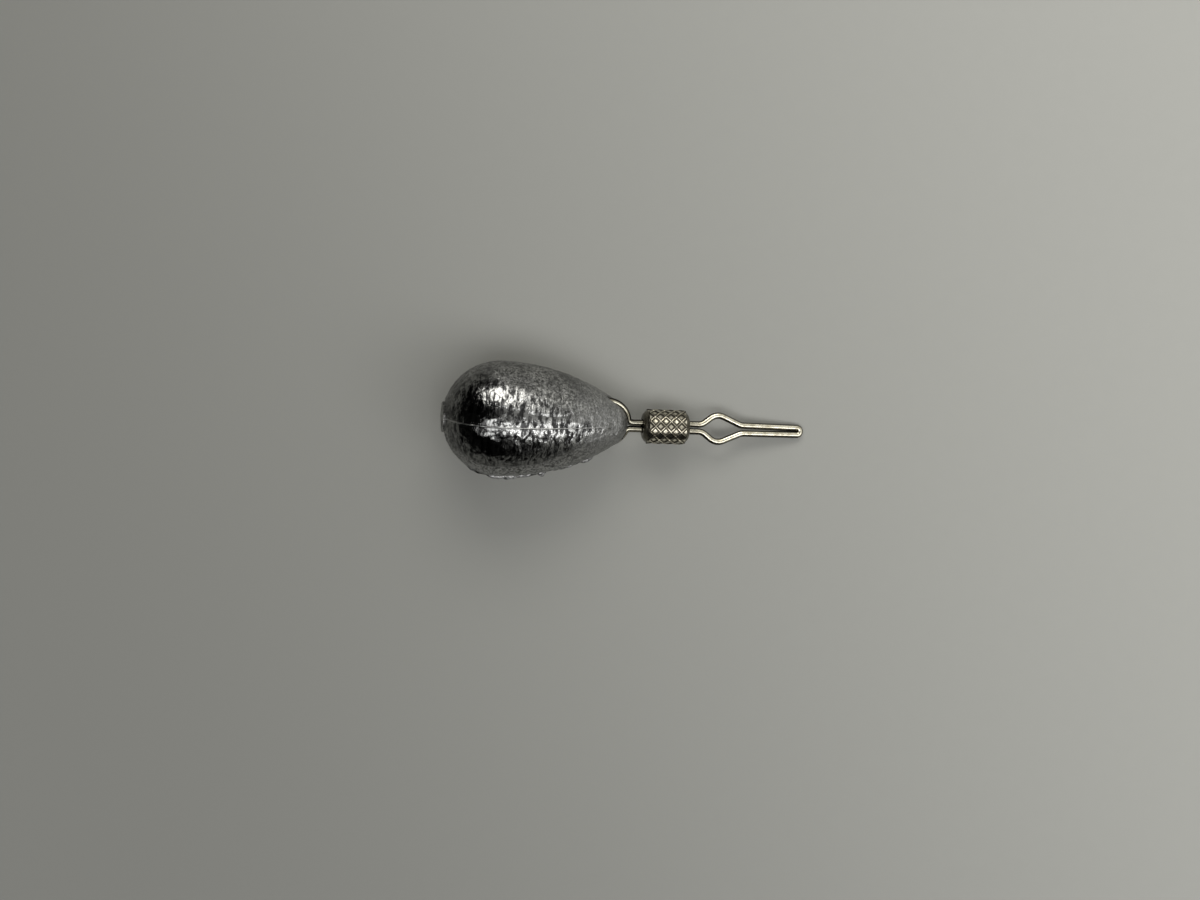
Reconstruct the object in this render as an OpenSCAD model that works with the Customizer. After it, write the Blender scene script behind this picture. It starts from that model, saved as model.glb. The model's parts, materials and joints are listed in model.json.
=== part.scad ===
// A lead casting weight with a cast-in wire eye, a knurled barrel swivel and a pinched wire
// line clip. It lies on its belly with the tip of the clip on the surface that carries it.
// Lengths are in millimetres and angles in degrees.
// Each piece is drawn along X, with the lead's dome at zero, and then laid down by lying().

/* [Lead weight] */
// Width of the lead across its belly
weight_d = 10.5; // [9.5:0.1:12]
// Length of the lead from the pole of the dome to the tip of the nose
weight_len = 17.1; // [15.5:0.1:20]
// Radius of the rounded nose
nose_r = 2.4; // [2:0.1:3]
// Width of the gate stub that the casting left on the dome
gate_d = 2.65; // [1.5:0.05:4]
// How far the gate stub stands beyond the pole of the dome
gate_h = 0.08; // [0.06:0.01:0.6]

/* [Parting line and flash] */
// How far the raised parting line stands off the lead
seam_h = 0.04; // [0.02:0.01:0.05]
// Width of the raised parting line
seam_w = 0.14; // [0.08:0.01:0.3]
// How far the parting line is turned from the top of the lead
seam_roll = 10; // [9:1:40]
// Height of the tallest piece of flash
flash_h = 0.24; // [0.1:0.01:0.4]
// Half the length of the longest piece of flash
flash_reach = 1.85; // [0.8:0.05:2.2]
// How far the flash is turned out of the level
flash_roll = 2; // [0:1:14]
// Thickness of the flash
flash_t = 0.14; // [0.08:0.01:0.3]

/* [Wire and eye] */
// Diameter of the wire in the eye and in the line clip
wire_d = 0.6; // [0.45:0.01:0.65]
// Diameter of the eye, between the middles of the wire
eye_d = 4.36; // [3.8:0.02:4.8]
// How deep the middle of the eye lies behind the tip of the nose
eye_sink = 2.15; // [1.9:0.05:2.3]
// How far the lead and the eye lie to the side of the swivel's axis
eye_side = 0.25; // [0:0.01:0.35]
// How far the lead's axis lies below the swivel's axis
eye_rise = 0.1; // [0:0.01:0.3]
// How far the eye is turned out of the level
eye_roll = 24; // [0:1:40]
// Radius of the two bends from the eye into its neck
eye_bend_r = 0.45; // [0.4:0.01:0.7]
// Length of the neck between those bends and the barrel
eye_neck = 0.98; // [0.6:0.02:2]

/* [Barrel] */
// Diameter of the barrel over the flats of its knurl
barrel_d = 3.06; // [2.9:0.02:3.6]
// Length of the knurled band
knurl_len = 3.44; // [2.6:0.02:5]
// Height of the knurl's ridges
knurl_h = 0.07; // [0.03:0.01:0.12]
// Length of the closed-down dome at each end
dome_len = 0.45; // [0.4:0.01:0.6]
// Width of the flat round the hole at each end
dome_flat_d = 1.64; // [1.5:0.02:1.8]
// Thickness of the barrel's wall
barrel_wall = 0.33; // [0.2:0.01:0.36]
// Clearance all round the wires in the holes
hole_play = 0.05; // [0.02:0.01:0.1]
// Play of each wire's head along the barrel
end_play = 0.05; // [0.02:0.01:0.2]
// Width of the head on each wire
head_d = 2.1; // [1.8:0.02:2.1]
// Length of the head on each wire
head_len = 0.7; // [0.4:0.05:0.9]

/* [Line clip] */
// Length of the clip's neck, from the barrel to the corner where the legs part
clip_neck = 1.31; // [1:0.01:2]
// Distance along the clip from that corner to the widest part of the loop
spread_len = 1.4; // [1.2:0.05:2]
// Distance along the clip from the widest part to the mouth of the slot
close_len = 2.35; // [1.8:0.05:3]
// Width of the loop between the middles of the legs, before its corners are rounded
loop_w = 2.8; // [2.2:0.05:3.2]
// Length of the slot that pinches the line
slot_len = 5.4; // [3:0.05:8]
// Gap between the legs at the mouth of the slot
mouth_gap = 0.14; // [0.08:0.01:0.3]
// Gap between the legs at the closed end of the slot
slot_gap = 0.05; // [0.03:0.01:0.08]
// Radius of the bends where the legs part
part_bend_r = 1; // [0.6:0.05:1.2]
// Radius of the bends at the widest part of the loop
wide_bend_r = 1.2; // [0.6:0.05:1.4]
// Radius of the bends at the mouth of the slot
mouth_bend_r = 1.2; // [0.6:0.05:1.6]

/* [Hidden] */
$fn = 64;

// Overrun of a cut past the surface that it opens
overrun = 0.1;
// Gap that keeps two wires side by side from running into one
leg_gap = 0.05;
// Skin between the lead and the wire cast into it
cast_gap = 0.005;
// Step from the knurl's flats down to the smooth ends of the barrel
crimp_step = 0.04;
// Width of the smooth shoulder between the knurled band and each dome
shoulder_len = 0.04;
// Depth of the roots by which the parting line and the flash grow out of the lead
seam_root = 0.2;
flash_root = 0.3;

// Ridges round the barrel in each direction, and grid steps from one ridge to the next
knurl_starts = 10;
knurl_steps = 8;
// Straight pieces in the round of each of the barrel's domes
dome_steps = 5;
// Sides of a wire, and the most degrees that one of its bends turns in a step
wire_sides = 16;
bend_step = 12;

// Each piece of flash: place along the lead, length and height, as shares of
// weight_len, flash_reach and flash_h
flash_shares = [[0.4, 1, 1], [0.542, 0.22, 0.8], [0.784, 0.34, 0.9]];

// The lead's outline is a round dome, a long flank and a round nose, each tangent to the next.
// The flank's radius follows from the other sizes.
belly_r = weight_d / 2;
belly_x = belly_r;
nose_x = weight_len - nose_r;
taper_len = weight_len - belly_x;
flank_r = (pow(taper_len, 2) + pow(belly_r, 2) - 2 * nose_r * taper_len)
    / (2 * (belly_r - nose_r));
flank_y = belly_r - flank_r;
// Where the flank runs into the nose
nose_start = belly_x + (nose_x - belly_x) * flank_r / (flank_r - nose_r);

// Places along the swivel's axis, from the lead outwards
leg_y = (wire_d + leg_gap) / 2;
eye_r = eye_d / 2;
eye_x = weight_len - eye_sink;
barrel_x = neck_x(1) + eye_neck;
knurl_x = barrel_x + dome_len;
barrel_end = knurl_x + knurl_len + dome_len;

// The barrel is hollow, and its ends close on the wires' necks
flat_r = barrel_d / 2;
core_r = flat_r - crimp_step;
cavity_r = flat_r - barrel_wall;
hole_r = leg_y + wire_d / 2 + hole_play;
end_wall = dome_len;
eye_head_x = barrel_x + end_wall + end_play + head_len / 2;
clip_head_x = barrel_end - end_wall - end_play - head_len / 2;

// Corners of one leg of the clip, and the bend at each
part_x = barrel_end + clip_neck;
wide_x = part_x + spread_len;
mouth_x = wide_x + close_len;
tip_x = mouth_x + slot_len;
mouth_y = (wire_d + mouth_gap) / 2;
tip_y = (wire_d + slot_gap) / 2;
clip_corners = [[clip_head_x, leg_y], [part_x, leg_y], [wide_x, loop_w / 2],
    [mouth_x, mouth_y], [tip_x, tip_y]];
clip_bends = [0, part_bend_r, wide_bend_r, mouth_bend_r, 0];
// The bend at the tip closes what is left of half a turn, round a point on the axis
tip_slope = atan2(mouth_y - tip_y, slot_len);
tip_bend_r = tip_y / cos(tip_slope);
tip_end = tip_x - tip_bend_r * sin(tip_slope) + tip_bend_r;

// The object lies on its belly and on the clip's tip, so it is tilted until both touch
tip_run = tip_end - belly_x;
tip_fall = -flank_y - eye_rise;
tilt = atan2(tip_run, tip_fall) - acos((flank_r - wire_d / 2) / norm([tip_run, tip_fall]));
lift = tip_end * sin(tilt) + wire_d / 2;
// The origin is under the middle of the object
back_x = min(-gate_h * cos(tilt) - gate_d / 2 * sin(tilt), belly_x * cos(tilt) - belly_r - seam_h)
    - eye_rise * sin(tilt);
front_x = tip_end * cos(tilt) + wire_d / 2;
flash_x = flash_shares[0][0] * weight_len;
near_y = (lead_r(flash_x) + flash_h * flash_shares[0][2]) * cos(flash_roll);
middle = [(back_x + front_x) / 2, eye_side + (belly_r - max(near_y, belly_r)) / 2];

// Radius of the lead's flank at a place along it, between the belly and the nose
function lead_r(x) = sqrt(pow(flank_r, 2) - pow(x - belly_x, 2)) + flank_y;

// The eye lies to one side of the neck, so each side of it opens by its own angle and its bend
// ends at its own place: side is 1 on the side that the eye lies towards, and -1 on the other
function eye_open(side) = asin((eye_bend_r + leg_y - side * eye_side) / (eye_r + eye_bend_r));
function neck_x(side) = eye_x + (eye_r + eye_bend_r) * cos(eye_open(side));

// Direction from one corner to the next, turn at a corner, and what its bend takes off each side
function heading(p, i) = atan2(p[i + 1][1] - p[i][1], p[i + 1][0] - p[i][0]);
function inner_corner(p, i) = i > 0 && i < len(p) - 1;
function turn(p, i) = inner_corner(p, i) ? heading(p, i) - heading(p, i - 1) : 0;
function taken(p, bends, i) = bends[i] * tan(abs(turn(p, i)) / 2);

// The runs of a wire through corners: each is a straight length, then a turn on a radius
function runs_of(p, bends) = [for (i = [0 : len(p) - 2])
    [norm(p[i + 1] - p[i]) - taken(p, bends, i) - taken(p, bends, i + 1),
        turn(p, i + 1), bends[i + 1]]];

// The same runs walked back along the other side of the axis, from the tip to the neck
function mirrored(runs) = let (last = len(runs) - 1)
    [for (i = [last : -1 : 0]) [runs[i][0], i > 0 ? runs[i - 1][1] : 0, i > 0 ? runs[i - 1][2] : 0]];

// Places along a wire with its heading at each: the end of every straight, and steps round bends
function walk(runs, at = [0, 0, 0], i = 0) = i == len(runs) ? [] :
    let (straight = runs[i][0], bend = runs[i][1], r = runs[i][2] * sign(bend), a = at[2],
        corner = [at[0] + straight * cos(a), at[1] + straight * sin(a), a],
        steps = ceil(abs(bend) / bend_step),
        arc = steps == 0 ? [] : [for (k = [1 : steps]) let (b = a + bend * k / steps)
            [corner[0] + r * (sin(b) - sin(a)), corner[1] - r * (cos(b) - cos(a)), b]])
    concat(straight > 0 ? [corner] : [], arc, walk(runs, steps == 0 ? corner : arc[steps - 1], i + 1));

// Corners of one face of a tube's grid, and the two faces that close its ends
function quad(i, j, cols) = let (a = i + cols * j, b = (i + 1) % cols + cols * j)
    [a, b, b + cols, a + cols];
function caps(cols, rows) = [[for (i = [0 : cols - 1]) i], [for (i = [cols - 1 : -1 : 0]) i + cols * rows]];

// Lays a piece that is drawn along X down on the surface
module lying() {
    translate([-middle[0], -middle[1], lift]) rotate([0, tilt, 0]) children();
}

// Moves what is drawn round the lead's axis to its place beside the swivel's axis
module beside_swivel() {
    translate([0, eye_side, -eye_rise]) children();
}

// Turns a profile, drawn with its length along Y, about the X axis
module turned_along_x() {
    rotate([0, 90, 0]) rotate_extrude() children();
}

// A round wire that starts along X and follows its runs, as one tube swept along its path
module wire(runs, d) {
    path = concat([[0, 0, 0]], walk(runs));
    points = [for (at = path) for (k = [0 : wire_sides - 1])
        let (t = 360 * k / wire_sides, out = d / 2 * cos(t))
            [at[0] - out * sin(at[2]), at[1] + out * cos(at[2]), d / 2 * sin(t)]];
    rows = len(path) - 1;
    sides = [for (j = [0 : rows - 1]) for (i = [0 : wire_sides - 1])
        let (q = quad(i, j, wire_sides)) each [[q[0], q[2], q[1]], [q[0], q[3], q[2]]]];
    polyhedron(points, concat(sides, caps(wire_sides, rows)));
}

// The eye's wire, from its head through the neck, round the eye and back
module eye_wire(d) {
    runs = [[eye_head_x - neck_x(1), eye_open(1) - 90, eye_bend_r],
        [0, 360 - eye_open(1) - eye_open(-1), eye_r],
        [0, eye_open(-1) - 90, eye_bend_r], [eye_head_x - neck_x(-1), 0, 0]];
    translate([eye_head_x, leg_y, 0]) rotate([0, 0, 180]) wire(runs, d);
}

// The bulb into which both ends of a wire are upset
module wire_head(x) {
    translate([x, 0, 0]) turned_along_x() intersection() {
        circle(d = head_d);
        translate([0, -head_len / 2]) square([head_d, head_len]);
    }
}

// The lead's outline above its axis, grown by a skin
module lead_outline(skin) {
    translate([belly_x, 0]) intersection() {
        circle(r = belly_r + skin);
        translate([-belly_r - skin - overrun, 0])
            square([belly_r + skin + overrun, belly_r + skin + overrun]);
    }
    intersection() {
        translate([belly_x, flank_y]) circle(r = flank_r + skin);
        translate([belly_x, 0]) square([nose_start - belly_x, belly_r + skin + overrun]);
    }
    intersection() {
        translate([nose_x, 0]) circle(r = nose_r + skin);
        translate([nose_start, 0]) square([nose_r + skin + overrun, nose_r + skin + overrun]);
    }
}

// The raised line where the halves of the mould met, a thin band right round the lead
module parting_line() {
    rotate([90 + seam_roll, 0, 0]) linear_extrude(seam_w, center = true) for (side = [0, 1])
        mirror([0, side]) difference() {
            lead_outline(seam_h);
            lead_outline(-seam_root);
        }
}

// One piece of flash: a thin disc that shows as a low arch outside the lead
module flash(share) {
    x = share[0] * weight_len;
    half = share[1] * flash_reach;
    h = share[2] * flash_h;
    disc_r = (pow(half, 2) + pow(h, 2)) / (2 * h);
    translate([x, -lead_r(x), 0]) rotate([0, 0, asin((x - belly_x) / flank_r)])
        linear_extrude(flash_t, center = true) intersection() {
            translate([0, disc_r - h]) circle(r = disc_r);
            translate([-half, -flash_h - overrun]) square([2 * half, flash_h + overrun + flash_root]);
        }
}

module lead_body() {
    color([0.45, 0.46, 0.45]) lying() {
        difference() {
            beside_swivel() {
                turned_along_x() mirror([1, -1]) lead_outline(0);
                translate([-gate_h, 0, 0]) rotate([0, 90, 0]) cylinder(d = gate_d, h = gate_h + gate_d);
            }
            rotate([eye_roll, 0, 0]) eye_wire(wire_d + 2 * cast_gap);
        }
        beside_swivel() {
            parting_line();
            rotate([flash_roll, 0, 0]) for (share = flash_shares) flash(share);
        }
    }
}

module lower_eye() {
    color([0.62, 0.6, 0.52]) lying() rotate([eye_roll, 0, 0]) {
        eye_wire(wire_d);
        wire_head(eye_head_x);
    }
}

// Ridges of the knurl cross its grid both ways: whether a point of the grid lies on one, and how
// many grid steps lie between a count and the nearest ridge
function ridge(i, j) = (i - j) % knurl_steps == 0 || (i + j) % knurl_steps == 0;
function apart(n) = let (m = abs(n) % knurl_steps) min(m, knurl_steps - m);

// Rings of one closed-down end, from its flat to the knurled band: place along it and radius
function dome_rings() = let (rise = core_r - dome_flat_d / 2, depth = dome_len - shoulder_len,
        dome_r = (pow(rise, 2) + pow(depth, 2)) / (2 * depth), sweep = asin(rise / dome_r))
    concat([for (i = [0 : dome_steps]) let (a = sweep * i / dome_steps)
        [dome_r * (1 - cos(a)), dome_flat_d / 2 + dome_r * sin(a)]], [[dome_len, core_r]]);

// The barrel's outside, as one skin over rings of points: a smooth end, the knurled band with
// faces that follow its ridges, and the other end
module barrel_skin() {
    cols = knurl_starts * knurl_steps;
    rows = round(knurl_len * cols / (PI * barrel_d));
    near = dome_rings();
    far = [for (i = [len(near) - 1 : -1 : 0]) [barrel_end - barrel_x - near[i][0], near[i][1]]];
    band = [for (j = [0 : rows]) [dome_len + knurl_len * j / rows, flat_r, j]];
    rings = concat(near, band, far);
    points = [for (ring = rings) for (i = [0 : cols - 1])
        let (on_ridge = len(ring) == 3 && ridge(i, ring[2]), a = 360 * i / cols,
            r = ring[1] + (on_ridge ? knurl_h : 0))
                [ring[0], r * cos(a), r * sin(a)]];
    sides = [for (k = [0 : len(rings) - 2]) for (i = [0 : cols - 1])
        let (q = quad(i, k, cols), j = k - len(near))
            each apart(i - j) < apart(i + j + 1) ? [[q[0], q[2], q[1]], [q[0], q[3], q[2]]]
                : [[q[0], q[3], q[1]], [q[1], q[3], q[2]]]];
    polyhedron(points, concat(sides, caps(cols, len(rings) - 1)));
}

module swivel_barrel() {
    color([0.68, 0.66, 0.57]) lying() difference() {
        translate([barrel_x, 0, 0]) barrel_skin();
        translate([barrel_x + end_wall, 0, 0]) rotate([0, 90, 0])
            cylinder(r = cavity_r, h = barrel_end - barrel_x - 2 * end_wall);
        translate([barrel_x - overrun, 0, 0]) rotate([0, 90, 0])
            cylinder(r = hole_r, h = barrel_end - barrel_x + 2 * overrun);
    }
}

module line_clip() {
    out = runs_of(clip_corners, clip_bends);
    tip = [out[len(out) - 1][0], -(180 - 2 * tip_slope), tip_bend_r];
    out_to_tip = [for (i = [0 : len(out) - 1]) i < len(out) - 1 ? out[i] : tip];
    color([0.7, 0.68, 0.6]) lying() {
        translate([clip_head_x, leg_y, 0]) wire(concat(out_to_tip, mirrored(out)), wire_d);
        wire_head(clip_head_x);
    }
}

lead_body();
lower_eye();
swivel_barrel();
line_clip();
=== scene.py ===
# %% [markdown]
# A lead casting weight hangs on a knurled barrel swivel, and a bent wire clip at the other end
# pinches the fishing line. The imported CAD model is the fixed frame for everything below: each
# piece is drawn straight along X, in the way the piece was made, and laid down at the end.

import json
import math

import bpy
from mathutils import Matrix, Vector


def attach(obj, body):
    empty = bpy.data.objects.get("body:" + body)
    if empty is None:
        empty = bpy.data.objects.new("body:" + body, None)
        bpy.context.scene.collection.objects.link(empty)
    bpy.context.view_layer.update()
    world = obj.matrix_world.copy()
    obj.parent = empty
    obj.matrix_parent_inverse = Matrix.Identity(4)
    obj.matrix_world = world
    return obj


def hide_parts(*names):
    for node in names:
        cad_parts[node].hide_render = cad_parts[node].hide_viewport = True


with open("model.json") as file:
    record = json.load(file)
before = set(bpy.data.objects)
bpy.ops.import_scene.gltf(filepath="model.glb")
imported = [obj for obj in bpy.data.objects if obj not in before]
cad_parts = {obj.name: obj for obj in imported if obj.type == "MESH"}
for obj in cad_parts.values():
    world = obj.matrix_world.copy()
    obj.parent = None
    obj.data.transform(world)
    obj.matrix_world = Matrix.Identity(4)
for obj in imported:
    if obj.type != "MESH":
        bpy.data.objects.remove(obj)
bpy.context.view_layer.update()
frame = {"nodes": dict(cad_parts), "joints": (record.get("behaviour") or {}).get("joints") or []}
mm = 0.001

# %% [markdown]
# The whole thing lies on its belly with its nose and clip pointing a little downwards. The
# barrel's joint gives that line: its point is the middle of the barrel, and its direction is the
# swivel's axis. So a piece can be drawn along X, with the dome of the lead at zero, and one
# matrix lays it down exactly where the CAD piece lies.

# %% Find the swivel's axis
swivel = frame["joints"][0]
swivel_axis = Vector(swivel["axis"])
barrel_middle = Vector(swivel["pos_m"])


def reach_along(node):
    """How far a CAD piece reaches along the swivel's axis, both ways from the barrel's middle."""
    places = [(v.co - barrel_middle).dot(swivel_axis) for v in frame["nodes"][node].data.vertices]
    return min(places), max(places)


gate_h = 0.08 * mm
barrel_place = -reach_along("lead_body")[0] - gate_h
tilt = math.atan2(-swivel_axis.z, swivel_axis.x)
laid_down = (Matrix.Translation(barrel_middle) @ Matrix.Rotation(tilt, 4, "Y")
    @ Matrix.Translation((-barrel_place, 0, 0)))
print("tilt", round(math.degrees(tilt), 2), "barrel middle at", round(barrel_place / mm, 3), "mm")

# %% [markdown]
# The photograph was taken from straight above. The camera's distance and lens come from how much
# larger the thick lead looks than the clip, which lies closer to the surface.

# %% Camera
camera_h = 180 * mm
photo_middle = (-2.14 * mm, -2.5 * mm)
photo_turn = math.radians(1.85)
camera_data = bpy.data.cameras.new("camera")
camera_data.sensor_width = 36
camera_data.lens = 57.44
camera_data.clip_start = 0.005
camera = bpy.data.objects.new("camera", camera_data)
camera.location = (*photo_middle, camera_h)
camera.rotation_euler = (0, 0, photo_turn)
bpy.context.scene.collection.objects.link(camera)
bpy.context.scene.camera = camera
print("camera", round(camera_h / mm), "mm up, with a lens of", round(camera_data.lens, 2), "mm")

# %% [markdown]
# A few small tools for the modelling. Every operator acts on all that is selected, so each piece
# begins with nothing selected.

# %% Tools for modelling
weld_gap = 0.001 * mm


def start_alone():
    """Leaves edit mode and selects nothing, so that a new primitive is the only thing at hand."""
    if bpy.context.mode != "OBJECT":
        bpy.ops.object.mode_set(mode="OBJECT")
    bpy.ops.object.select_all(action="DESELECT")


def open_mesh(piece, how="VERT"):
    """Opens a piece in edit mode with nothing of it selected."""
    start_alone()
    piece.select_set(True)
    bpy.context.view_layer.objects.active = piece
    bpy.ops.object.mode_set(mode="EDIT")
    bpy.ops.mesh.select_mode(type=how)
    bpy.ops.mesh.select_all(action="DESELECT")


def close_mesh():
    """Back to object mode, with the new piece returned."""
    bpy.ops.object.mode_set(mode="OBJECT")
    return bpy.context.view_layer.objects.active


def tidy_mesh(weld=weld_gap):
    """Merges doubles of the open piece and turns all its faces outwards."""
    bpy.ops.mesh.select_all(action="SELECT")
    bpy.ops.mesh.remove_doubles(threshold=weld)
    bpy.ops.mesh.normals_make_consistent(inside=False)


print("doubles closer than", round(weld_gap / mm, 3), "mm are merged")

# %% [markdown]
# The weight is cast in a two-part mould that was turned on a lathe, so its outline is three
# arcs that run into each other: a round dome, a long flank and a blunt nose. A single vertex
# is spun about the middle of each arc in turn, which keeps the arcs tangent, and the outline
# is then spun once round the axis. A stretched sphere would be quicker, but its flank is fuller
# than a turned mould's.

# %% Sizes of the lead weight
weight_len, belly_r, nose_r = 17.1 * mm, 5.25 * mm, 2.4 * mm
lead_beside = Vector((0, 0.25 * mm, -0.1 * mm))
nose_x = weight_len - nose_r
taper_len = weight_len - belly_r
round_steps = 288
flank_r = (taper_len ** 2 + belly_r ** 2 - 2 * nose_r * taper_len) / (2 * (belly_r - nose_r))
flank_turn = math.asin((nose_x - belly_r) / (flank_r - nose_r))
print("flank radius", round(flank_r / mm, 2), "mm, turned", round(math.degrees(flank_turn), 1))

# %% Spin the lead's outline and body
start_alone()
bpy.ops.mesh.primitive_plane_add(size=0.1 * mm, location=(0, 0, 0))
lead = bpy.context.object
open_mesh(lead)
bpy.ops.mesh.select_all(action="SELECT")
bpy.ops.mesh.merge(type="CENTER")
for middle, turn, steps in (
    ((belly_r, 0, 0), math.pi / 2, 84),
    ((belly_r, 0, belly_r - flank_r), flank_turn, 128),
    ((nose_x, 0, 0), math.pi / 2 - flank_turn, 44),
):
    bpy.ops.mesh.spin(steps=steps, angle=turn, center=middle, axis=(0, -1, 0))
bpy.ops.mesh.select_all(action="SELECT")
bpy.ops.mesh.spin(steps=round_steps, angle=math.tau, center=(0, 0, 0), axis=(1, 0, 0))
tidy_mesh(2 * weld_gap)
close_mesh()
print("lead turned with", len(lead.data.vertices), "vertices")

# %% [markdown]
# In a pocket or a box the weight is rubbed on one broad side. How squarely each spot faces that
# side is noted on the mesh, so that the finish can be bright there and dull towards the rim. The
# same note keeps the shine's painted dark reflections and highlights on the upper side.

# %% Note how squarely the lead faces up
facing = lead.data.attributes.new("facing", "FLOAT", "POINT")
turn_only = laid_down.to_3x3()
for v in lead.data.vertices:
    facing.data[v.index].value = (turn_only @ v.normal).z
print("spots on the upper half:", sum(note.value > 0 for note in facing.data))

# %% [markdown]
# Where the two halves of the mould met, a thin raised line runs round the lead from end to end.
# Some lead also squeezed out at the side and froze as a low, uneven fin. Both start as one
# lengthwise row of edges, which gets a narrow bevel, and the middle strip of it is raised.

# %% Find rows of edges along the lead
on_line, pole_r, noted_h = 0.01 * mm, 0.5 * mm, 0.03 * mm


def pick_edges(piece, test):
    """Selects the edges of the open piece whose two ends pass a test."""
    bpy.ops.mesh.select_all(action="DESELECT")
    bpy.ops.object.mode_set(mode="OBJECT")
    for e in piece.data.edges:
        e.select = bool(test(*(piece.data.vertices[i] for i in e.vertices)))
    bpy.ops.object.mode_set(mode="EDIT")


def roll_of(co):
    """Angle of a place round the lead's axis, from the top towards the side of the fin."""
    return math.atan2(-co.y, co.z)


def near_roll(co, roll, within):
    """Whether a place lies close to one lengthwise line of the lead, away from its poles."""
    off_axis = math.hypot(co.y, co.z)
    off_line = off_axis * abs(math.remainder(roll_of(co) - roll, math.tau))
    return off_line < within and off_axis > pole_r


def raise_line(roll, half_width, height_at, note, amount):
    """Raises a narrow strip along the lead by a height that depends on the place along it."""
    roll = round(roll / math.tau * round_steps) / round_steps * math.tau
    open_mesh(lead, "EDGE")
    pick_edges(lead, lambda a, b: near_roll(a.co, roll, on_line)
        and near_roll(b.co, roll, on_line))
    bpy.ops.mesh.bevel(offset=half_width, segments=3, affect="EDGES")
    close_mesh()
    raised = [(v, v.normal.copy()) for v in lead.data.vertices
        if near_roll(v.co, roll, half_width * 0.5)]
    for v, outwards in raised:
        height = height_at(v.co.x)
        v.co += outwards * height
        lead.data.attributes[note].data[v.index].value = amount * min(1, height / noted_h)
    print("raised", len(raised), "vertices at roll", round(math.degrees(roll), 1))


# %% [markdown]
# The parting line is a little uneven, and it fades towards the nose, where the mould was worn.
# The fin is ragged, because the lead froze wherever it squeezed out. So its height is the
# tallest of a few round bumps, each with its place along the lead, its half length and its
# height in millimetres.

# %% Raise the parting line and the fin
seam_roll, seam_h, seam_half = math.radians(10), 0.06 * mm, 0.07 * mm
fin_roll, fin_half = math.radians(90), 0.1 * mm
fin_bumps = [(5.1, 1.0, 0.24), (6.2, 1.5, 0.28), (7.7, 1.2, 0.18), (9.25, 0.4, 0.32),
    (11.6, 1.4, 0.1), (13.4, 0.63, 0.24), (3.2, 0.9, 0.12)]


def eased(x, start, end):
    """Goes smoothly from 0 to 1 between two places."""
    t = min(1, max(0, (x - start) / (end - start)))
    return t * t * (3 - 2 * t)


def line_height(x):
    """The parting line's height, a little uneven."""
    uneven = 0.7 + 0.3 * math.sin(x / mm * 5.1) * math.sin(x / mm * 2.3 + 1)
    return seam_h * uneven * (1 - 0.8 * eased(x, 13.5 * mm, 15.5 * mm))


def fin_height(x):
    """The fin's height: a few bumps of frozen lead on a low ragged edge."""
    bumps = [h * max(0, 1 - ((x / mm - at) / half) ** 2) for at, half, h in fin_bumps]
    ragged = 0.02 * (1 + math.sin(x / mm * 9.7)) * eased(x, 1 * mm, 3 * mm)
    return (max(bumps) + ragged * (1 - eased(x, 14 * mm, 15.5 * mm))) * mm


# The fin shares its note with the gap beside the eye, and the finish paints both near black.
for note in ("raised", "gap_shade_and_dark_fin"):
    lead.data.attributes.new(note, "FLOAT", "POINT")
for end in (0, math.pi):
    raise_line(seam_roll + end, seam_half, line_height, "raised", 1)
raise_line(fin_roll, fin_half, fin_height, "gap_shade_and_dark_fin", 0.9)

# %% [markdown]
# The lead was poured in through a gate at the dome's end. It was broken off there, which leaves a
# short round stub with a rough face.

# %% Draw out the gate stub
gate_r, stub_h, stub_face, flattened = 1.45 * mm, 0.05 * mm, 0.07 * mm, 0.15


def pick_vertices(piece, test):
    """Selects the vertices of the open piece whose place passes a test."""
    bpy.ops.mesh.select_all(action="DESELECT")
    bpy.ops.object.mode_set(mode="OBJECT")
    for v in piece.data.vertices:
        v.select = bool(test(v.co))
    bpy.ops.object.mode_set(mode="EDIT")


open_mesh(lead, "FACE")
pick_vertices(lead, lambda co: co.x < belly_r and math.hypot(co.y, co.z) < gate_r)
bpy.ops.mesh.extrude_region_move(TRANSFORM_OT_translate={"value": (-stub_h, 0, 0)})
bpy.ops.transform.resize(value=(flattened, 1, 1), center_override=(-stub_face, 0, 0))
close_mesh()
print("lead reaches back to", round(min(v.co.x for v in lead.data.vertices) / mm, 3), "mm")

# %% [markdown]
# Lead shrinks as it sets against the cold mould, and its skin freezes in fine wrinkles. Two
# displacements give these: a long swell that makes the outline a little uneven, and a finer
# crinkle. Sculpting would give the same, but a procedural texture is the same in every run. The
# finest crinkles are left to the finish.

# %% Crinkle the lead's skin
def crinkle(piece, name, size, strength):
    """Applies a displacement by a cloud texture of one size."""
    clouds = bpy.data.textures.new(name, "CLOUDS")
    clouds.noise_scale, clouds.noise_depth = size, 2
    modifier = piece.modifiers.new(name, "DISPLACE")
    modifier.texture, modifier.texture_coords = clouds, "LOCAL"
    modifier.strength, modifier.mid_level = strength, 0.5
    start_alone()
    piece.select_set(True)
    bpy.context.view_layer.objects.active = piece
    bpy.ops.object.modifier_apply(modifier=name)
    print(name, "of about", round(size / mm, 2), "mm on", len(piece.data.vertices), "vertices")


crinkle(lead, "swell", 3.2 * mm, 0.07 * mm)
crinkle(lead, "wrinkles", 0.5 * mm, 0.1 * mm)
lead.data.transform(Matrix.Translation(lead_beside))

# %% [markdown]
# The lead shrank a little away from the eye that was cast into it. So every spot of the skin
# close to the eye's wire is sunk into a gap along the wire, and is noted for the finish, which
# paints the gap near black as painted shade.

# %% Sink the gap beside the eye
wire_r, eye_r, eye_side, eye_roll = 0.3 * mm, 2.18 * mm, 0.25 * mm, math.radians(24)
eye_x = weight_len - 2.15 * mm
nose_from, gap_floor, gap_w, gap_depth = 12 * mm, 0.06 * mm, 0.2 * mm, 0.15 * mm


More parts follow.
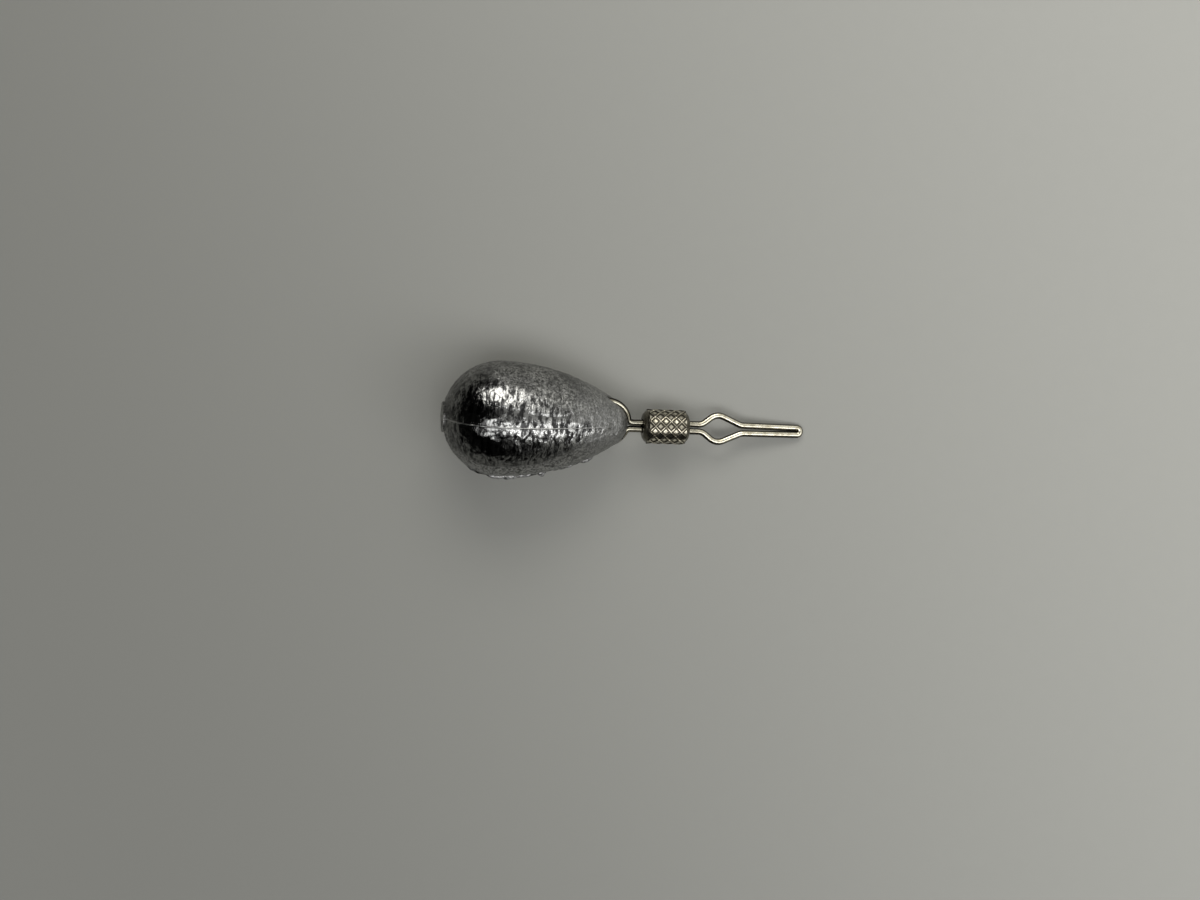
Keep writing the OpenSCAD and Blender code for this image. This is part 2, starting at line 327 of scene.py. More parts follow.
def off_eye(co):
    """How far a place lies from the middle of the eye's bent wire."""
    level = Matrix.Rotation(-eye_roll, 3, "X") @ co
    return math.hypot(math.hypot(level.x - eye_x, level.y - eye_side) - eye_r, level.z)


# This note is what the finish paints near black as painted shade in the gap.
gap_shade_and_dark_fin = lead.data.attributes["gap_shade_and_dark_fin"]
beside_wire = [(v, v.normal.copy()) for v in lead.data.vertices
    if v.co.x > nose_from and off_eye(v.co) < wire_r + gap_w]
for v, outwards in beside_wire:
    closeness = 1 - eased(off_eye(v.co), wire_r + gap_floor, wire_r + gap_w)
    gap_shade_and_dark_fin.data[v.index].value = closeness
    v.co -= outwards * closeness * gap_depth
print("spots in the gap:", len(beside_wire))

# %% [markdown]
# A finished piece is laid down in its mesh, and its object stays at the origin, where the CAD
# pieces' objects are too. It then rides its body and stands for its CAD piece, and takes that
# piece's place. An edge sharper than a few tens of degrees stays an edge, and the rest is smooth.

# %% Lay the lead down
def lay_down(piece, name, body, node, turn=Matrix(), crease=35):
    """Lays a finished piece down where the CAD piece lies, and lets it stand for that piece."""
    piece.name = piece.data.name = name
    piece.data.transform(laid_down @ turn)
    start_alone()
    piece.select_set(True)
    bpy.context.view_layer.objects.active = piece
    bpy.ops.object.shade_smooth_by_angle(angle=math.radians(crease))
    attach(piece, body)
    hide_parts(node)
    print(name, "has", len(piece.data.vertices), "vertices")


lay_down(lead, "lead_weight", "weight", "lead_body", crease=60)

# %% [markdown]
# The eye and the clip are each one soft wire. A ring of the wire's size is pushed along every
# straight and spun round the middle of every bend, just as the wire was bent round pins. A curve
# with a round profile would be quicker, but here every bend keeps its own radius.

# %% A tool that bends a wire
leg_y, ring_step, bend_step, nothing = 0.325 * mm, 0.6 * mm, math.radians(5), 1e-9


def bend_wire(start, heading, runs, ring=28):
    """One wire from a start point: runs are its straights, each with the bend that follows it."""
    start_alone()
    bpy.ops.mesh.primitive_circle_add(vertices=ring, radius=wire_r, location=start,
        rotation=(0, math.pi / 2, heading))
    wire = bpy.context.object
    bpy.ops.object.transform_apply()
    open_mesh(wire)
    bpy.ops.mesh.select_all(action="SELECT")
    at = Vector(start)
    for straight, bend, radius in runs:
        ahead = Vector((math.cos(heading), math.sin(heading), 0))
        pieces = max(1, round(straight / ring_step)) if straight > nothing else 0
        for _ in range(pieces):
            step = ahead * straight / pieces
            bpy.ops.mesh.extrude_region_move(TRANSFORM_OT_translate={"value": step})
        at += ahead * straight
        if abs(bend) > nothing:
            side = math.copysign(1, bend)
            middle = at + Vector((-ahead.y, ahead.x, 0)) * radius * side
            steps = max(2, math.ceil(abs(bend) / bend_step))
            bpy.ops.mesh.spin(steps=steps, angle=abs(bend), center=middle, axis=(0, 0, -side))
            arm = at - middle
            at = middle + Matrix.Rotation(bend, 3, "Z") @ arm
            heading += bend
    bpy.ops.mesh.select_all(action="DESELECT")
    bpy.ops.mesh.select_non_manifold()
    bpy.ops.mesh.fill_holes(sides=0)
    tidy_mesh()
    close_mesh()
    # How squarely each spot faces a broad side is noted; the finish paints the flanks as painted
    # shade.
    facing = wire.data.attributes.new("facing", "FLOAT", "POINT")
    for v in wire.data.vertices:
        facing.data[v.index].value = abs(v.normal.z)
    print("wire of", len(wire.data.vertices), "vertices ends at", [round(c / mm, 2) for c in at])
    return wire


print("wires are", round(2 * wire_r / mm, 2), "mm thick and", round(2 * leg_y / mm, 2), "mm apart")

# %% [markdown]
# Both ends of each wire lie side by side in the barrel, where they were hammered into one head.
# The head is wider than the barrel's hole, so the wire turns there and can't be pulled out.

# %% A tool for the wires' heads
head_r, head_half = 1.05 * mm, 0.35 * mm


def wire_head(place):
    """The bulb at a wire's end inside the barrel: a ball cut flat on both faces."""
    start_alone()
    bpy.ops.mesh.primitive_uv_sphere_add(segments=36, ring_count=18, radius=head_r,
        location=(place, 0, 0), rotation=(0, math.pi / 2, 0))
    head = bpy.context.object
    bpy.ops.object.transform_apply()
    open_mesh(head)
    for side in (-1, 1):
        bpy.ops.mesh.select_all(action="SELECT")
        bpy.ops.mesh.bisect(plane_co=(place + side * head_half, 0, 0), plane_no=(side, 0, 0),
            use_fill=True, clear_outer=True)
    tidy_mesh()
    return close_mesh()


def join_pieces(main, *others):
    """Joins meshes that are one solid piece on the real object."""
    start_alone()
    for piece in (main, *others):
        piece.select_set(True)
    bpy.context.view_layer.objects.active = main
    bpy.ops.object.join()


print("heads in mm:", [round(2 * part / mm, 2) for part in (head_r, head_half)])

# %% [markdown]
# The eye is cast into the nose, so only its outer arc shows. It sits a little to one side of
# the swivel's axis, and it is rolled about that axis, as it was when the lead was poured.

# %% Bend the lower eye
eye_bend_r, eye_neck, head_in = 0.45 * mm, 0.98 * mm, 0.85 * mm
opening = {s: math.asin((eye_bend_r + leg_y - s * eye_side) / (eye_r + eye_bend_r))
    for s in (1, -1)}
neck_x = {s: eye_x + (eye_r + eye_bend_r) * math.cos(opening[s]) for s in (1, -1)}
barrel_x = neck_x[1] + eye_neck
barrel_end = 2 * barrel_place - barrel_x
eye_head = barrel_x + head_in
eye_wire = bend_wire((eye_head, leg_y, 0), math.pi, [
    (eye_head - neck_x[1], opening[1] - math.pi / 2, eye_bend_r),
    (0, math.tau - opening[1] - opening[-1], eye_r),
    (0, opening[-1] - math.pi / 2, eye_bend_r),
    (eye_head - neck_x[-1], 0, 0)])
join_pieces(eye_wire, wire_head(eye_head))
lay_down(eye_wire, "wire_eye", "weight", "lower_eye", Matrix.Rotation(eye_roll, 4, "X"))

# %% [markdown]
# The clip's two legs part into a loop for the line, and close into a slot that pinches it.
# The corners lie on straight lines between a few points, each rounded on its own radius.

# %% Bend the line clip
clip_neck, spread_len, close_len, slot_len = 1.31 * mm, 1.4 * mm, 2.35 * mm, 5.4 * mm
wide_y, mouth_y = 1.4 * mm, 0.37 * mm
clip_head = barrel_end - head_in
part_x = barrel_end + clip_neck
wide_x = part_x + spread_len
mouth_x = wide_x + close_len
tip_x = mouth_x + slot_len
corners = [Vector(c) for c in ((clip_head, leg_y), (part_x, leg_y), (wide_x, wide_y),
    (mouth_x, mouth_y), (tip_x, leg_y))]
corner_r = [0, 1 * mm, 1.2 * mm, 1.2 * mm, 0]
ways = [b - a for a, b in zip(corners, corners[1:])]
headings = [math.atan2(w.y, w.x) for w in ways]
turns = [0] + [b - a for a, b in zip(headings, headings[1:])]
taken = [r * math.tan(abs(t) / 2) for r, t in zip(corner_r, turns)] + [0]
out_runs = [(w.length - taken[i] - taken[i + 1], (turns + [0])[i + 1], corner_r[i + 1])
    for i, w in enumerate(ways)]
slope = headings[-1]
tip_bend = (out_runs[-1][0], -math.pi - 2 * slope, leg_y / math.cos(slope))
back_runs = [(out_runs[i][0], out_runs[i - 1][1] if i else 0, out_runs[i - 1][2] if i else 0)
    for i in (3, 2, 1, 0)]
clip_wire = bend_wire((clip_head, leg_y, 0), 0, out_runs[:-1] + [tip_bend] + back_runs)
join_pieces(clip_wire, wire_head(clip_head))
lay_down(clip_wire, "line_clip_wire", "clip", "line_clip")

# %% [markdown]
# The barrel is a short tube whose ends are closed down over both heads. Two knurling wheels
# rolled crossed ridges into it, ten in each direction. A bump in the material could show them
# from afar, but their crests are what makes the barrel's outline rough, so they are modelled.

# %% Sizes of the barrel
band_r, ridge_h, band_len = 1.53 * mm, 0.07 * mm, 3.44 * mm
dome_len, flat_r, hole_r, bore_r = 0.45 * mm, 0.82 * mm, 0.675 * mm, 1.2 * mm
ridges, cells = 10, 4
columns = ridges * cells
cell = math.tau * band_r / columns
rows = round(band_len / cell)
cell_len = band_len / rows
print("knurled band of", columns, "by", rows, "cells of", round(cell_len / mm, 3), "mm")

# %% [markdown]
# The band starts as one ring that is pushed along the barrel cell by cell, so its grid has as
# many columns as the ridges need: four to each.

# %% Cut the barrel's band into cells
start_alone()
bpy.ops.mesh.primitive_circle_add(vertices=columns, radius=band_r,
    location=(barrel_x + dome_len, 0, 0), rotation=(0, math.pi / 2, 0))
barrel = bpy.context.object
bpy.ops.object.transform_apply()
open_mesh(barrel)
bpy.ops.mesh.select_all(action="SELECT")
for _ in range(rows):
    bpy.ops.mesh.extrude_region_move(TRANSFORM_OT_translate={"value": (cell_len, 0, 0)})
close_mesh()
print("band has", len(barrel.data.polygons), "cells")

# %% [markdown]
# Each cell of the band is poked in its middle, and the old edges are dissolved. What is left is
# a net of diamonds, and every fourth line of it in each direction is a ridge.

# %% Turn the cells into diamonds
band_ends = (barrel_x + dome_len, barrel_x + dome_len + band_len)
grid_count = len(barrel.data.vertices)


def of_the_grid(a, b):
    """Whether an edge is one of the first grid's, apart from those on the band's two rims."""
    on_rim = [min(abs(v.co.x - x) for x in band_ends) < weld_gap for v in (a, b)]
    return max(a.index, b.index) < grid_count and not all(on_rim)


def round_up(co):
    """A place moved straight out to the band's radius."""
    spread = band_r / math.hypot(co.y, co.z)
    return Vector((co.x, co.y * spread, co.z * spread))


open_mesh(barrel, "EDGE")
bpy.ops.mesh.select_all(action="SELECT")
bpy.ops.mesh.poke()
pick_edges(barrel, of_the_grid)
bpy.ops.mesh.dissolve_edges(use_verts=False)
close_mesh()
for v in barrel.data.vertices:
    v.co = round_up(v.co)
print("diamonds in the net:", len(barrel.data.polygons))

# %% [markdown]
# The edges on the ridges get a narrow bevel in three strips, and the middle strip is raised to
# the ridge's crest. The middles of the diamonds are pressed in a little, as the wheels left them.

# %% Bevel the ridges' edges and raise their crests
ridge_half, dish_depth = 0.075 * mm, 0.012 * mm
crest_reach, middle_from = 0.3, 0.9


def off_ridge(co):
    """How many cells a place lies from the nearest ridge of each direction."""
    around = math.atan2(co.z, co.y) / math.tau * columns
    along = (co.x - band_ends[0]) / cell_len
    return [abs((n + cells / 2) % cells - cells / 2) for n in (around - along, around + along)]


def on_ridge(a, b):
    """Whether an edge runs along a ridge."""
    return any(max(pair) < 0.01 for pair in zip(off_ridge(a.co), off_ridge(b.co)))


open_mesh(barrel, "EDGE")
pick_edges(barrel, on_ridge)
bpy.ops.mesh.bevel(offset=ridge_half, segments=3, affect="EDGES", clamp_overlap=True)
pick_vertices(barrel, lambda co: min(off_ridge(co)) < crest_reach)
bpy.ops.transform.shrink_fatten(value=-ridge_h)
pick_vertices(barrel, lambda co: min(off_ridge(co)) > middle_from)
bpy.ops.transform.shrink_fatten(value=dish_depth)
close_mesh()
on_crest = sum(math.hypot(v.co.y, v.co.z) > band_r + ridge_h / 2 for v in barrel.data.vertices)
print("on the crests are", on_crest, "of", len(barrel.data.vertices), "vertices")

# %% [markdown]
# The ends were rolled down over the wires' heads. Both rims are extruded inwards ring by ring,
# and each ring is set to the dome's arc, down to the flat round the hole. The hole and the room
# for the heads follow in the same way, and a bridge closes the barrel's inside.

# %% Close the barrel's ends
crimp_step, shoulder, dome_steps = 0.04 * mm, 0.04 * mm, 8
core_r = band_r - crimp_step
rise, depth = core_r - flat_r, dome_len - shoulder
dome_r = (rise ** 2 + depth ** 2) / (2 * depth)
sweep = math.asin(rise / dome_r)
arc = [(dome_r * (1 - math.cos(a)), flat_r + dome_r * math.sin(a))
    for a in (sweep * i / dome_steps for i in range(dome_steps, -1, -1))]
inner_wall = [(0, hole_r), (dome_len, hole_r), (dome_len, bore_r)]
open_mesh(barrel, "EDGE")
bpy.ops.mesh.select_non_manifold()
for place, radius in arc + inner_wall:
    bpy.ops.mesh.extrude_region_move(TRANSFORM_OT_translate={"value": (0, 0, 0)})
    bpy.ops.object.mode_set(mode="OBJECT")
    for v in barrel.data.vertices:
        if v.select:
            near = v.co.x < barrel_place
            spread = radius / math.hypot(v.co.y, v.co.z)
            x = barrel_x + place if near else barrel_end - place
            v.co = Vector((x, v.co.y * spread, v.co.z * spread))
    bpy.ops.object.mode_set(mode="EDIT")
bpy.ops.mesh.bridge_edge_loops()
tidy_mesh()
close_mesh()
print("barrel has", len(barrel.data.polygons), "faces")

# %% [markdown]
# The finish needs to know where the crests and the middles of the diamonds are. So the distance
# to the nearest ridge is noted on the mesh, counted in cells, and the smooth domes get a 1.

# %% Note how far each spot lies from a ridge
from_ridge = barrel.data.attributes.new("from_ridge", "FLOAT", "POINT")
for v in barrel.data.vertices:
    on_band = band_ends[0] - on_line < v.co.x < band_ends[1] + on_line
    from_ridge.data[v.index].value = min(off_ridge(v.co)) if on_band else 1
lay_down(barrel, "knurled_barrel", "barrel", "swivel_barrel", crease=25)

# %% [markdown]
# Shader maths reads best as ordinary sums, so a small class stands for one output of a node, and
# each operator on it adds a Math node.

# %% Amounts in a finish
class Amount:
    """One output of a node: a sum or product with it adds the Math node that works it out."""

    def __init__(self, finish, socket):
        self.finish, self.socket = finish, socket

    def maths(self, operation, *values):
        return self.finish.add("Math", {"operation": operation}, list(values))

    def __add__(self, other):
        return self.maths("ADD", self, other)

    def __sub__(self, other):
        return self.maths("SUBTRACT", self, other)

    def __rsub__(self, other):
        return self.maths("SUBTRACT", other, self)

    def __mul__(self, other):
        return self.maths("MULTIPLY", self, other)

    def __truediv__(self, other):
        return self.maths("DIVIDE", self, other)

    def __pow__(self, other):
        return self.maths("POWER", self, other)

    __radd__, __rmul__ = __add__, __mul__

    def at_most(self, other):
        return self.maths("MINIMUM", self, other)

    def at_least(self, other):
        return self.maths("MAXIMUM", self, other)

    def size(self):
        return self.maths("ABSOLUTE", self)

    def between(self, low, high):
        """Goes smoothly from 0 to 1 as this amount goes from low to high."""
        return self.finish.add("MapRange", {"interpolation_type": "SMOOTHSTEP"},
            {"Value": self, "From Min": low, "From Max": high})


print("sums of amounts ready")

# %% [markdown]
# A second class holds a finish while it is being mixed. One method adds any node to it, and the
# others add what every finish here needs: noise, a blend of two colours, a bump and the metal.

# %% Tools for finishes
def grey(level, blue=None):
    """A grey, or one whose blue is a little lower, which makes it warmer."""
    return (level, level, blue or level, 1)


class Finish:
    """A material with its nodes: one method adds a node, with its settings and its sockets."""

    def __init__(self, name, tree=None):
        if tree is None:
            self.material = bpy.data.materials.new(name)
            self.material.use_nodes = True
            tree = self.material.node_tree
        self.tree = tree
        self.tree.nodes.clear()

    def add(self, kind, settings=None, sockets=None, out=0):
        node = self.tree.nodes.new("ShaderNode" + kind)
        for name, value in (settings or {}).items():
            setattr(node, name, value)
        named = sockets.items() if isinstance(sockets, dict) else enumerate(sockets or [])
        for name, value in named:
            if isinstance(value, Amount):
                self.tree.links.new(value.socket, node.inputs[name])
            else:
                node.inputs[name].default_value = value
        return Amount(self, node.outputs[out]) if node.outputs else node

    def note(self, name):
        """A number that was noted on the mesh."""
        return self.add("Attribute", {"attribute_name": name}, out="Fac")

    def place(self, turn=(0, 0, 0), scale=(1, 1, 1)):
        """Object coordinates, turned and stretched for a pattern."""
        spot = self.add("TexCoord", out="Object")
        return self.add("Mapping", {}, {"Vector": spot, "Rotation": turn, "Scale": scale})

    def noise(self, place, size, detail=3.0, rough=0.55):
        """Soft noise from 0 to 1 whose patches are about one size, in metres."""
        return self.add("TexNoise", {}, {"Vector": place, "Scale": 1 / size,
            "Detail": detail, "Roughness": rough})

    def blend(self, amount, low, high):
        """A colour between two, by an amount."""
        return self.add("Mix", {"data_type": "RGBA"}, {0: amount, 6: low, 7: high}, out=2)

    def bump(self, height, distance, strength=1.0, under=None):
        sockets = {"Height": height, "Distance": distance, "Strength": strength}
        if under:
            sockets["Normal"] = under
        return self.add("Bump", {}, sockets)

    def metal(self, pieces, **sockets):
        """Ends the finish in a metal shader and puts it on the pieces."""
        named = {name.replace("_", " "): value for name, value in sockets.items()}
        shader = self.add("BsdfPrincipled", {}, {"Metallic": 1.0, **named})
        self.add("OutputMaterial", {}, {"Surface": shader})
        for piece in pieces:
            piece.data.materials.clear()
            piece.data.materials.append(self.material)
        print(self.material.name, "has", len(self.tree.nodes), "nodes")


print("tools for finishes ready")

# %% [markdown]
# Bare lead is bright where it froze against smooth mould and dull grey where it has tarnished.
# Its patterns are all noise of a few sizes: broad patches of tarnish, a fine grain, a mottle
# between them, and crinkles and streaks that are drawn out round the body, as the turned mould
# left them. Painted maps would be closer to one casting, but they aren't the same at any size.

# %% Patterns on the lead
lead_finish = Finish("cast_lead")
along_axis, drawn_out = (0, -tilt, 0), (1, 0.36, 0.36)
along = lead_finish.place(turn=along_axis)
streaked = lead_finish.place(turn=along_axis, scale=drawn_out)
lead_x = lead_finish.add("SeparateXYZ", {}, {"Vector": lead_finish.place()})
lead_y = Amount(lead_finish, lead_x.socket.node.outputs[1])
patches = lead_finish.noise(along, 1.6 * mm, 4)
mottle = lead_finish.noise(along, 0.45 * mm, 3, 0.6)
grain = lead_finish.noise(along, 0.2 * mm, 4, 0.7)
crinkles = lead_finish.noise(streaked, 0.34 * mm, 4, 0.6)
streaks = lead_finish.noise(streaked, 0.14 * mm, 4, 0.65)
raised, gap_shade_fin, rubbed = (lead_finish.note(name) for name in ("raised", "gap_shade_and_dark_fin", "facing"))
print("patterns and notes use", len(lead_finish.tree.nodes), "nodes")

# %% [markdown]
# Three small measures say where something is on the lead, in millimetres as seen from above: how
# far a place lies under a slanted line, how close to a short mark, and how deep inside an oval.

# %% Where things are on the lead
def under(x, y, slope):
    """How far the lead's places lie under a slanted line through a point."""
    return (y - slope * x) * mm + slope * lead_x - lead_y


def mark(x, y, to_x, to_y, wide):
    """Up to 1 on a thin and slightly wavy mark between two spots."""
    way = Vector((to_x - x, to_y - y))
    ahead_x, ahead_y = way.normalized()
    off_x, off_y = lead_x - x * mm, lead_y - y * mm
    ahead = off_x * ahead_x + off_y * ahead_y
    beside = off_x * ahead_y - off_y * ahead_x + (patches - 0.5) * (0.6 * mm)
    past_end = ahead.between((way.length - 0.3) * mm, way.length * mm)
    over = ahead.between(-0.1 * mm, 0.2 * mm) * (1 - past_end)
    return over * (1 - beside.size().between(0.3 * wide * mm, wide * mm))


def oval(x, y, long, wide):
    """Above 0 within an oval, and 1 in its middle."""
    off_x, off_y = (lead_x - x * mm) / (long * mm), (lead_y - y * mm) / (wide * mm)
    return 1 - (off_x * off_x + off_y * off_y) ** 0.5


scratch = mark(-8.3, -0.85, -9.1, -2.1, 0.15)
pale_marks = mark(-9.2, -2.3, -9.35, -3.3, 0.15) + mark(-7.3, 4.3, -7.3, 2.1, 0.16) * 0.35
by_nose = (lead_x + 6 * mm).between(0, 5 * mm)
off_dome = (lead_x + 12 * mm).between(0, 4 * mm)
# low_side is where the painted reflection of the floor goes.
low_side = (0 - lead_y).between(2.6 * mm, 4.6 * mm)
print("with the marks there are", len(lead_finish.tree.nodes), "nodes")

# %% [markdown]
# The metal still shines on a wedge from the dome to the nose, and only where the lead faces up
# enough to be rubbed. The noise breaks the wedge's edge into specks. Inside it the skin is
# ruffled in three ovals, where it froze in crinkles and where the lamps' highlights fall. The
# crinkles break up the highlights, and the paler metal in the ovals is a painted highlight.

# %% Shine of the lead
wedge = under(-11.9, 3.75, -0.42).at_most(0 - under(-8.35, -4.6, 0.6))
ragged_wedge = wedge + (patches - 0.5) * (2 * mm) + (grain - 0.5) * (1.2 * mm)
shine = ragged_wedge.between(-0.3 * mm, 0.5 * mm)
shine = shine * (rubbed + (grain - 0.5) * 0.12).between(0.5, 0.6)
ruffled_highlight_ovals = oval(-10, 2.1, 4, 1.4).at_least(oval(-5.6, -1.1, 6.3, 1.4))
ruffled_highlight_ovals = ruffled_highlight_ovals.at_least(oval(-6.6, 1.3, 3.2, 1))
ruffled_highlight_ovals = (ruffled_highlight_ovals + (patches - 0.5) * 0.5 + (mottle - 0.5) * 0.4).between(0, 0.38)
print("with the shine there are", len(lead_finish.tree.nodes), "nodes")

# %% [markdown]
# The tarnish is a middle grey with dark pits, and it is paler at the nose. The low side is paler
# too, a painted reflection of the floor. The shine lies over it, with dirt and painted dark
# reflections in its wrinkles and painted highlights in its ovals. Then come the marks, the parting
# line, and the fin and the gap beside the eye painted near black, the gap as painted shade.

# %% Colours of the lead
tarnish_and_floor_reflection = lead_finish.blend(patches.between(0.35, 0.65), grey(0.21, 0.205), grey(0.4, 0.385))
tarnish_and_floor_reflection = lead_finish.blend(by_nose * 0.75, tarnish_and_floor_reflection, grey(0.39, 0.383))
# The low side is painted paler, a painted reflection of the floor.
tarnish_and_floor_reflection = lead_finish.blend(low_side * 0.7, tarnish_and_floor_reflection, grey(0.62, 0.61))
pits = lead_finish.blend(by_nose, grey(0.075, 0.073), grey(0.22, 0.216))
pitted = (grain + (mottle - 0.5) * 0.35).between(0.37, 0.62)
tarnish_and_floor_reflection = lead_finish.blend(pitted, pits, tarnish_and_floor_reflection)
# Both tones of the shine have near-black specks: dirt in the wrinkles and painted dark reflection.
# The paler metal used in the ovals is a painted highlight.
crinkle_glints_and_gaps = lead_finish.blend(crinkles.between(0.42, 0.56), grey(0.04), grey(0.52, 0.51))
smooth = lead_finish.blend((crinkles + (grain - 0.5) * 0.5).between(0.4, 0.58),
    grey(0.04), grey(0.22, 0.215))
tone = lead_finish.blend(shine, tarnish_and_floor_reflection, lead_finish.blend(ruffled_highlight_ovals, smooth, crinkle_glints_and_gaps))
tone = lead_finish.blend(scratch * rubbed, tone, grey(0.01))
tone = lead_finish.blend(pale_marks * rubbed, tone, grey(0.6, 0.59))
tone = lead_finish.blend(raised * 0.8, tone, grey(0.5, 0.49))
# The fin and the gap beside the eye are painted near black, the gap as painted shade.
tone = lead_finish.blend(gap_shade_fin, tone, grey(0.012))
print("with the colours there are", len(lead_finish.tree.nodes), "nodes")

# %% [markdown]
# The crinkles, streaks and grain are too fine to model, so three bumps lie over each other. The
# crinkles are strongest in the ruffled ovals, and the grain where the lead is dull.

# %% Skin of the lead
crinkled_h = crinkles * (0.18 + 0.27 * off_dome + 0.55 * ruffled_highlight_ovals)
lead_bump = lead_finish.bump(crinkled_h, 0.17 * mm, 1.0)
lead_bump = lead_finish.bump(streaks, 0.03 * mm, 0.8, lead_bump)
lead_bump = lead_finish.bump(grain * (1.2 - shine), 0.06 * mm, 0.8, lead_bump)
lead_finish.metal([lead], Base_Color=tone, Normal=lead_bump,
    Roughness=0.42 - shine * 0.35 + raised * 0.3 + (grain - 0.5) * 0.12)

# %% [markdown]
# The wires are soft brass, tinned and a little tarnished, with fine lines from the drawing die.
# Their flanks are painted near black as painted shade, and only their broad sides keep the
# metal's colour, so the note of how they face is used again. The wires are also darker within
# about 3 mm of the barrel's middle, and darker still on the lead's side, where the eye is.

# %% Finish of the wires
wire_finish = Finish("tinned_wire")
drawn = wire_finish.place(turn=along_axis, scale=(0.12, 1, 1))
die_lines = wire_finish.noise(drawn, 0.05 * mm, 2)
tarnish = wire_finish.noise(wire_finish.place(), 0.5 * mm, 4)
wire_tone = wire_finish.blend(tarnish.between(0.35, 0.7), (0.76, 0.72, 0.59, 1),
    (0.42, 0.385, 0.29, 1))
broad_faces = (wire_finish.note("facing") + (tarnish - 0.5) * 0.3).between(0.6, 0.88)
wire_x = wire_finish.add("SeparateXYZ", {}, {"Vector": wire_finish.place()})
past_barrel = wire_x - barrel_middle.x
by_lead = (0 - past_barrel).between(0, 1 * mm)
clip_side_off_barrel = past_barrel.size().between(2.7 * mm, 3.7 * mm) * (1 - 0.7 * by_lead)
# Near-black flanks are painted shade; near the barrel and on the eye the wire is also darker.
wire_tone = wire_finish.blend(broad_faces * (0.45 + 0.55 * clip_side_off_barrel), (0.035, 0.032, 0.024, 1),
    wire_tone)
wire_finish.metal([eye_wire, clip_wire], Base_Color=wire_tone,
    Roughness=0.12 + tarnish * 0.12, Normal=wire_finish.bump(die_lines, 0.006 * mm, 0.5))

# %% [markdown]
# The barrel is nickel on brass. Hands and line polish the middles of the diamonds and the crests
# between them. The crests' feet and the domes are painted near black, as dirt and as painted
# shade in the knurl's hollows.

# %% Finish of the barrel
barrel_finish = Finish("knurled_nickel")
blotches = barrel_finish.noise(barrel_finish.place(), 0.35 * mm, 4)
scuffs = barrel_finish.noise(barrel_finish.place(), 0.06 * mm, 3)
off_crest = barrel_finish.note("from_ridge")
crest = 1 - off_crest.between(0.25, 0.5)
core = (off_crest + (scuffs - 0.5) * 0.5).between(0.8, 1.5)
nickel = barrel_finish.blend(blotches.between(0.35, 0.7), (0.78, 0.73, 0.6, 1),
    (0.46, 0.42, 0.33, 1))
# Near black at the crests' feet and on the domes: dirt and painted shade in the hollows.
nickel = barrel_finish.blend(core + crest * 0.8, (0.04, 0.036, 0.027, 1), nickel)
barrel_finish.metal([barrel], Base_Color=nickel, Roughness=0.34 - core * 0.2 - crest * 0.14,
    Normal=barrel_finish.bump(scuffs, 0.008 * mm, 0.6))

# %% [markdown]
# The floor is a pale sheet whose colour gets lighter to the right and a little to the back, a
# painted fall of light, as in the photograph.

# %% Floor
start_alone()
bpy.ops.mesh.primitive_plane_add(size=6, location=(0, 0, 0))
floor = bpy.context.object
floor.name = "floor"
paper = Finish("paper")
across = paper.add("SeparateXYZ", {}, {"Vector": paper.place()})
upwards = Amount(paper, across.socket.node.outputs[1])
pulp = paper.noise(paper.place(), 1.5 * mm, 3)
# The floor's colour carries a painted fall of light, lighter to the right and to the back.
painted_light_falloff = (across + 0.45 * upwards).between(-0.07, 0.13)
sheet = paper.blend(painted_light_falloff, (0.208, 0.209, 0.194, 1), (0.548, 0.549, 0.514, 1))
sheet = paper.blend(pulp * 0.06, sheet, (0.2, 0.2, 0.19, 1))
shader = paper.add("BsdfPrincipled", {}, {"Base Color": sheet, "Roughness": 0.75})
paper.add("OutputMaterial", {}, {"Surface": shader})
floor.data.materials.append(paper.material)
print("floor", round(floor.dimensions.x, 2), "m across")

# %% [markdown]
# Metal shows what is round it, so the lights are soft boxes and not points: the window makes the
# upper highlight of the lead, and the ceiling and the overhead lamp make the lower streak. Each
# faces the object from its own direction, well clear of it.

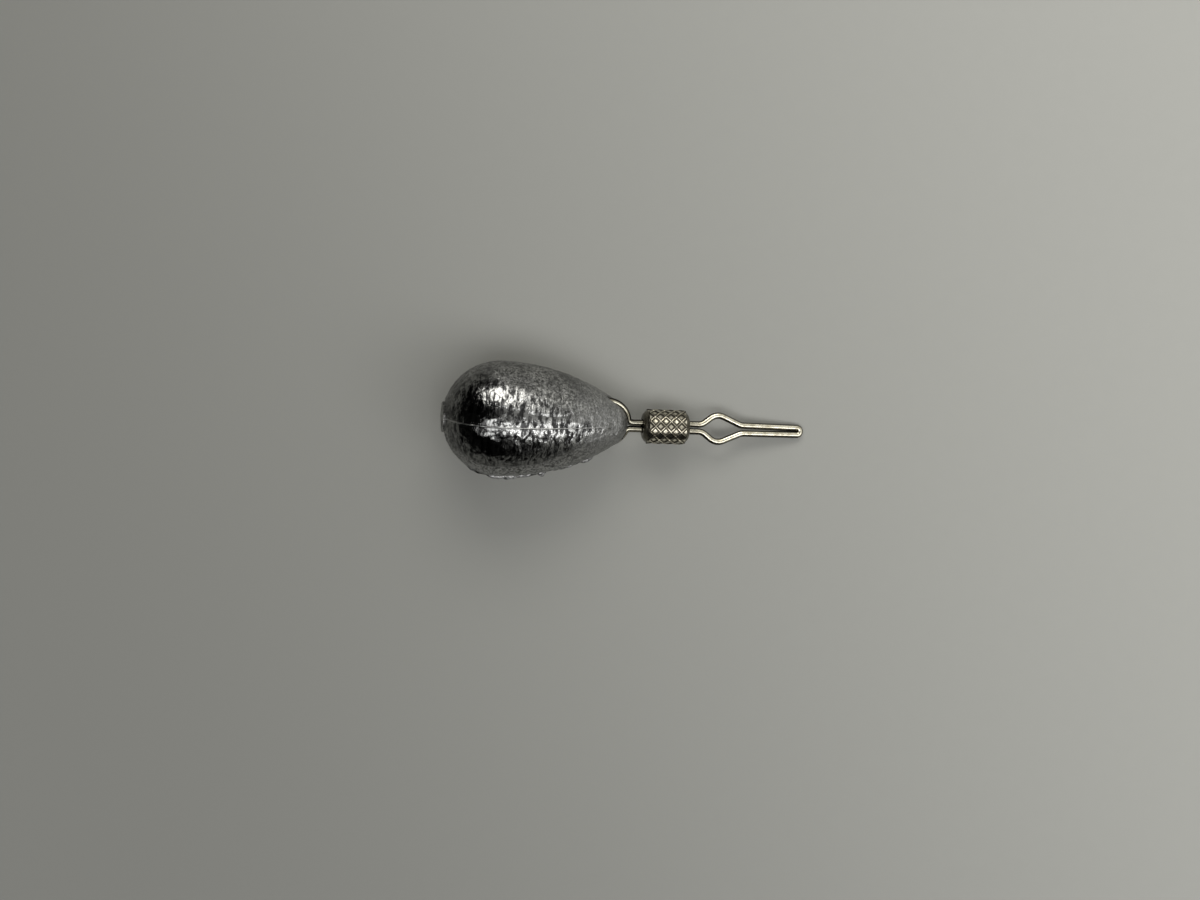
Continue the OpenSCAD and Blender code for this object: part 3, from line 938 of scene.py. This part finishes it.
# %% Lights
def softbox(name, azimuth, from_top, distance, wide, tall, power, colour=(1, 1, 1)):
    """A soft rectangular light that faces the object from a direction in degrees."""
    a, t = math.radians(azimuth), math.radians(from_top)
    lamp_data = bpy.data.lights.new(name, "AREA")
    lamp_data.shape = "RECTANGLE"
    lamp_data.size, lamp_data.size_y, lamp_data.energy = wide, tall, power
    lamp_data.color = colour
    lamp = bpy.data.objects.new(name, lamp_data)
    way = Vector((math.sin(t) * math.cos(a), math.sin(t) * math.sin(a), math.cos(t)))
    lamp.location = way * distance
    back = lamp.location.normalized()
    wide_way = (Vector((1, 0, 0)) - back * back.x).normalized()
    lamp.rotation_euler = Matrix((wide_way, back.cross(wide_way), back)).transposed().to_euler()
    lamp.visible_camera = False
    bpy.context.scene.collection.objects.link(lamp)
    print(name, "light stands", distance, "m away with", power, "W")


softbox("window", azimuth=92, from_top=48, distance=0.36, wide=0.28, tall=0.16, power=0.46,
    colour=(1, 0.98, 0.93))
softbox("ceiling", azimuth=-36, from_top=38, distance=0.36, wide=0.3, tall=0.14, power=0.34)
softbox("overhead", azimuth=-110, from_top=20, distance=0.4, wide=0.28, tall=0.16, power=0.52)

# %% [markdown]
# The room is pale on the right and overhead, and nearly black on the left and low down. That
# darkness gives the dome its black reflections, which a room of one brightness would wash out.

# %% Room
room_data = bpy.data.worlds.new("room")
bpy.context.scene.world = room_data
room_data.use_nodes = True
room = Finish("room", room_data.node_tree)
sky_way = room.add("TexCoord")
lit_way = (0.9, 0.43, 0)
lit_side = room.add("VectorMath", {"operation": "DOT_PRODUCT"}, {0: sky_way, 1: lit_way}, out=1)
height = room.add("SeparateXYZ", {}, {"Vector": sky_way}, out=2)
lit = lit_side.between(-0.15, 0.6) * (0.3 + 0.7 * height.between(0.1, 0.5))
glow = room.blend(lit, grey(0.008), grey(0.84, 0.81))
room.add("OutputWorld", {}, {"Surface": room.add("Background", {}, {"Color": glow})})
bpy.context.scene.view_settings.view_transform = "Standard"
print("room has", len(room.tree.nodes), "nodes")
